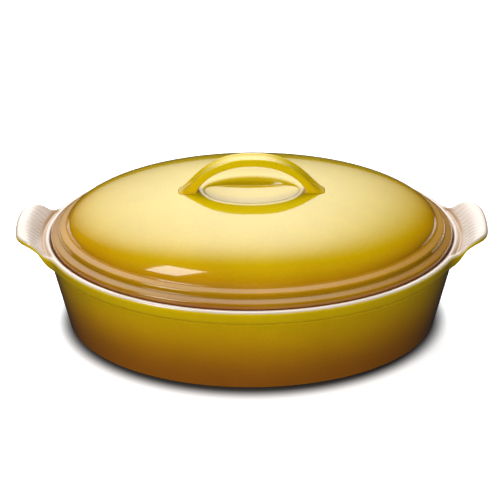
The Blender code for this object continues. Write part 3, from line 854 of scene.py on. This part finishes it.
def glaze(name, low, high, stops, pool, thin, foot=False):
    """A gloss glaze sprayed in a gradient with height, over cream where the skin runs past the glaze line."""
    g = Graph(name)
    xyz = g.add("ShaderNodeSeparateXYZ")
    g.put(xyz.inputs[0], g.place)
    height = xyz.outputs[2]
    drift = g.span(g.noise(*DRIFT), 0.0, 1.0, -DRIFT_REACH, DRIFT_REACH)
    grain = g.span(g.noise(*GRAIN), 0.0, 1.0, -GRAIN_REACH, GRAIN_REACH)
    sprayed = g.math("ADD", g.math("ADD", height, drift), grain)
    colour = g.ramp(g.span(sprayed, low, high), stops)
    mottle = g.patches(MOTTLE, 1 - MOTTLE_SHARE, 1 + MOTTLE_SHARE)
    cloud = g.patches(CLOUD, 1 - CLOUD_SHARE, 1 + CLOUD_SHARE)
    colour = g.scaled(colour, g.math("MULTIPLY", mottle, cloud))
    edge = g.attribute("edge")
    pooled = g.span(edge, *POOLED_BEND, 0.0, POOLED_SHARE)
    worn = g.math("MULTIPLY", g.span(edge, *WORN_BEND, 0.0, WORN_SHARE), g.patches(WEAR, WEAR_LEAST, 1.0))
    colour = g.blend(pooled, colour, (*pool, 1.0))
    colour = g.blend(worn, colour, (*thin, 1.0))

    past = g.math("ADD", g.attribute("skin"), g.patches(WANDER, -WANDER_REACH, WANDER_REACH))
    cream = g.blend(g.patches(CREAM_NOISE, 0.0, 1.0), (*CREAM, 1.0), (*CREAM_CLOUDED, 1.0))
    cream = g.blend(g.span(edge, *CREAM_THIN_BEND, 0.0, CREAM_THIN_SHARE), cream, (*CREAM_THIN, 1.0))
    # Painted shade: the cream darkens in hollows and along the ear's valley.
    cream = g.blend(g.span(edge, *CREAM_SHADE_BEND, 0.0, CREAM_SHADE_SHARE), cream, (*CREAM_SHADE_PAINT, 1.0))
    pale = g.span(past, *PALE_SPAN, 0.0, PALE_SHARE, smooth=True)
    colour = g.blend(pale, colour, (*PALE_GLAZE, 1.0))
    colour = g.blend(g.span(past, *CREAM_SPAN, smooth=True), colour, cream)
    rough = g.patches(ROUGH_NOISE, *ROUGHNESS)
    if foot:
        ring = g.span(height, *BARE_FOOT_SPAN)
        speck = g.span(g.noise(*SPECK), SPECK_LOW, SPECK_HIGH, SPECK_LEAST, SPECK_MOST)
        colour = g.blend(ring, colour, g.scaled(BISCUIT, speck))
        rough = g.math("ADD", rough, g.math("MULTIPLY", ring, BARE_FOOT_ROUGHNESS))
    g.put(g.shader.inputs["Base Color"], colour)
    g.put(g.shader.inputs["Roughness"], rough)
    peel = g.bump(g.noise(*PEEL), PEEL_STRENGTH, PEEL_HEIGHT)
    g.put(g.shader.inputs["Normal"], g.bump(g.noise(*FINE), FINE_STRENGTH, FINE_HEIGHT, peel))
    g.shader.inputs["IOR"].default_value = 1.5
    g.shader.inputs["Coat Weight"].default_value = 1.0
    g.shader.inputs["Coat Roughness"].default_value = 0.03
    g.shader.inputs["Coat IOR"].default_value = 1.55
    return g.material


def dress(made, look, body, node):
    """Gives a mesh its glaze and its place in the frame."""
    made.data.materials.clear()
    made.data.materials.append(look)
    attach(made, body)
    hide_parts(node)


dish_glaze = glaze(
    "dish glaze", 0.0, DISH_HEIGHT,
    ((0.0, (0.30, 0.095, 0.006)), (0.25, (0.36, 0.125, 0.006)), (0.5, (0.56, 0.26, 0.003)),
     (0.7, (0.66, 0.38, 0.002)), (0.86, (0.68, 0.43, 0.001)), (1.0, (0.80, 0.56, 0.001))),
    pool=(0.46, 0.25, 0.001), thin=(0.74, 0.54, 0.01), foot=True)
lid_glaze = glaze(
    "lid glaze", 0.080, DOME_TOP,
    ((0.0, (0.22, 0.05, 0.002)), (0.10, (0.30, 0.08, 0.002)), (0.20, (0.40, 0.20, 0.001)),
     (0.29, (0.42, 0.205, 0.001)), (0.38, (0.60, 0.28, 0.001)), (0.50, (0.60, 0.33, 0.001)),
     (0.64, (0.62, 0.41, 0.001)), (1.0, (0.62, 0.47, 0.001))),
    pool=(0.54, 0.24, 0.001), thin=(0.66, 0.40, 0.01))
handle_glaze = glaze(
    "handle glaze", 0.122, HANDLE_TOP,
    ((0.0, (0.70, 0.42, 0.001)), (0.25, (0.74, 0.48, 0.001)), (0.6, (0.76, 0.54, 0.001)),
     (0.8, (0.77, 0.56, 0.001)), (1.0, (0.78, 0.58, 0.001))),
    pool=(0.60, 0.36, 0.001), thin=(0.78, 0.58, 0.02))

dress(shell("dish_body", dish_net()), dish_glaze, "dish", "dish")
dress(shell("lid_shell", lid_net()), lid_glaze, "lid", "lid")
dress(strap_handle(), handle_glaze, "lid", "lid_handle")


def camera():
    """Looks at the object from the front and above."""
    target = Vector((0, 0, VIEW_HEIGHT))
    back = Vector((0, -math.cos(VIEW_ELEVATION), math.sin(VIEW_ELEVATION))) * VIEW_DISTANCE
    eye = Matrix.Rotation(-VIEW_TURN, 3, "Z") @ back + target
    data = bpy.data.cameras.new("camera")
    made = bpy.data.objects.new("camera", data)
    bpy.context.scene.collection.objects.link(made)
    facing = (target - eye).to_track_quat("-Z", "Y").to_matrix().to_4x4()
    made.matrix_world = Matrix.Translation(eye) @ facing @ Matrix.Rotation(VIEW_ROLL, 4, "Z")
    data.sensor_width = SENSOR
    data.lens = LENS
    data.shift_x = LENS_SHIFT
    bpy.context.scene.camera = made
    bpy.context.scene.view_settings.view_transform = "Standard"
    bpy.context.scene.view_settings.look = "None"


def sheet(name, left, low, right, high):
    """A flat rectangle at z = 0."""
    mesh = bpy.data.meshes.new(name)
    corners = [(left, low, 0), (right, low, 0), (right, high, 0), (left, high, 0)]
    mesh.from_pydata(corners, [], [(0, 1, 2, 3)])
    made = bpy.data.objects.new(name, mesh)
    bpy.context.scene.collection.objects.link(made)
    return made


def floor():
    """Pale seamless paper with a painted shadow round the foot of the dish, glowing brighter away from it."""
    made = sheet("floor", -PAPER_HALF, -PAPER_HALF, PAPER_HALF, PAPER_HALF)
    g = Graph("floor paper")
    stretch = g.add("ShaderNodeVectorMath", operation="DIVIDE")
    shifted = g.add("ShaderNodeVectorMath", operation="ADD")
    g.put(shifted.inputs[0], g.place)
    shifted.inputs[1].default_value = (0.0, SHADOW_PAINT_SHIFT, 0.0)
    g.put(stretch.inputs[0], shifted.outputs[0])
    stretch.inputs[1].default_value = (*SHADOW_PAINT_OVAL, 1.0)
    beyond = g.math("SUBTRACT", g.length(stretch.outputs[0]), 1.0)
    away = g.math("MULTIPLY", beyond, g.length(g.place))
    # near runs from 0 in the painted shadow at the foot to 1 out on the glowing paper.
    near = g.span(away, SHADOW_PAINT_START, SHADOW_PAINT_REACH, smooth=True)
    paper = g.ramp(g.noise(30.0, 3.0), ((0.0, (0.84, 0.84, 0.84)), (1.0, (0.86, 0.86, 0.86))))
    g.put(g.shader.inputs["Base Color"], g.blend(near, (*PAINTED_SHADOW_COLOUR, 1.0), paper))
    g.shader.inputs["Roughness"].default_value = 0.9
    g.shader.inputs["Specular IOR Level"].default_value = 0.0
    # Outside the painted shadow the paper glows white, as painted light.
    g.shader.inputs["Emission Color"].default_value = (1, 1, 1, 1)
    g.put(g.shader.inputs["Emission Strength"], g.math("MULTIPLY", near, FLOOR_GLOW))
    made.data.materials.append(g.material)
    made.visible_glossy = False
    made.visible_diffuse = False


def backdrop():
    """A pale wall round the whole stage, seen only in low views."""
    bpy.ops.mesh.primitive_cylinder_add(vertices=96, radius=BACKDROP_RADIUS, depth=BACKDROP_DEPTH,
                                        end_fill_type="NOTHING")
    made = bpy.context.object
    made.name = "backdrop"
    g = Graph("backdrop paper")
    light = g.only_light()
    g.put(light.inputs["Color"], g.ramp(g.noise(0.6), ((0.0, (0.98, 0.98, 0.98)), (1.0, (1.0, 1.0, 1.0)))))
    made.data.materials.append(g.material)
    made.visible_glossy = False
    made.visible_diffuse = False
    made.visible_shadow = False


def aim(made, place, target, up=(0, 0, 1)):
    """Puts an object at a place with its -Z axis towards a target and its Y axis near up."""
    z = (Vector(place) - Vector(target)).normalized()
    x = Vector(up).cross(z).normalized()
    y = z.cross(x)
    made.matrix_world = Matrix.Translation(place) @ Matrix((x, y, z)).transposed().to_4x4()


def back_panel():
    """The large diffuser behind and above the object, lit brightest a little above its middle."""
    made = sheet("back_panel", -PANEL_HALF, PANEL_LOW, PANEL_HALF, PANEL_HIGH)
    way = Vector((0, math.cos(PANEL_ELEVATION), math.sin(PANEL_ELEVATION)))
    aim(made, STAGE_MIDDLE + PANEL_DISTANCE * way, STAGE_MIDDLE)
    g = Graph("back panel light")
    xyz = g.add("ShaderNodeSeparateXYZ")
    g.put(xyz.inputs[0], g.place)
    right = g.math("SUBTRACT", g.math("MULTIPLY", xyz.outputs[0], -1.0), PANEL_SPOT[0])
    up = g.math("SUBTRACT", xyz.outputs[1], PANEL_SPOT[1])
    across = g.two_sided(right, PANEL_RIGHT, PANEL_LEFT)
    along_up = g.two_sided(up, PANEL_UP, PANEL_DOWN)
    square = g.math("ADD", g.math("MULTIPLY", across, across), g.math("MULTIPLY", along_up, along_up))
    glow = g.math("EXPONENT", g.math("MULTIPLY", square, -1.0))
    g.put(g.only_light().inputs["Strength"], g.math("MULTIPLY", glow, PANEL_STRENGTH))
    made.data.materials.append(g.material)
    made.visible_camera = False


def area_light(name, place, target, size, power, up, glossy=True):
    """A rectangular softbox."""
    data = bpy.data.lights.new(name, "AREA")
    data.shape = "RECTANGLE"
    data.size = size[0]
    data.size_y = size[1]
    data.energy = power
    made = bpy.data.objects.new(name, data)
    bpy.context.scene.collection.objects.link(made)
    aim(made, Vector(place), Vector(target), up)
    made.visible_camera = False
    made.visible_glossy = glossy


def surroundings():
    """A dim even light from all round."""
    world = bpy.data.worlds.new("studio")
    world.use_nodes = True
    background = world.node_tree.nodes["Background"]
    background.inputs[0].default_value = (1.0, 1.0, 1.0, 1.0)
    background.inputs[1].default_value = WORLD_STRENGTH
    bpy.context.scene.world = world


camera()
floor()
backdrop()
back_panel()
area_light("key", KEY_AIM + KEY_DISTANCE * KEY_WAY, KEY_AIM, KEY_SIZE, KEY_POWER, KEY_UP)
for name, place, target, size, power, up in FILLS:
    area_light(name, place, target, size, power, up, glossy=False)
surroundings()
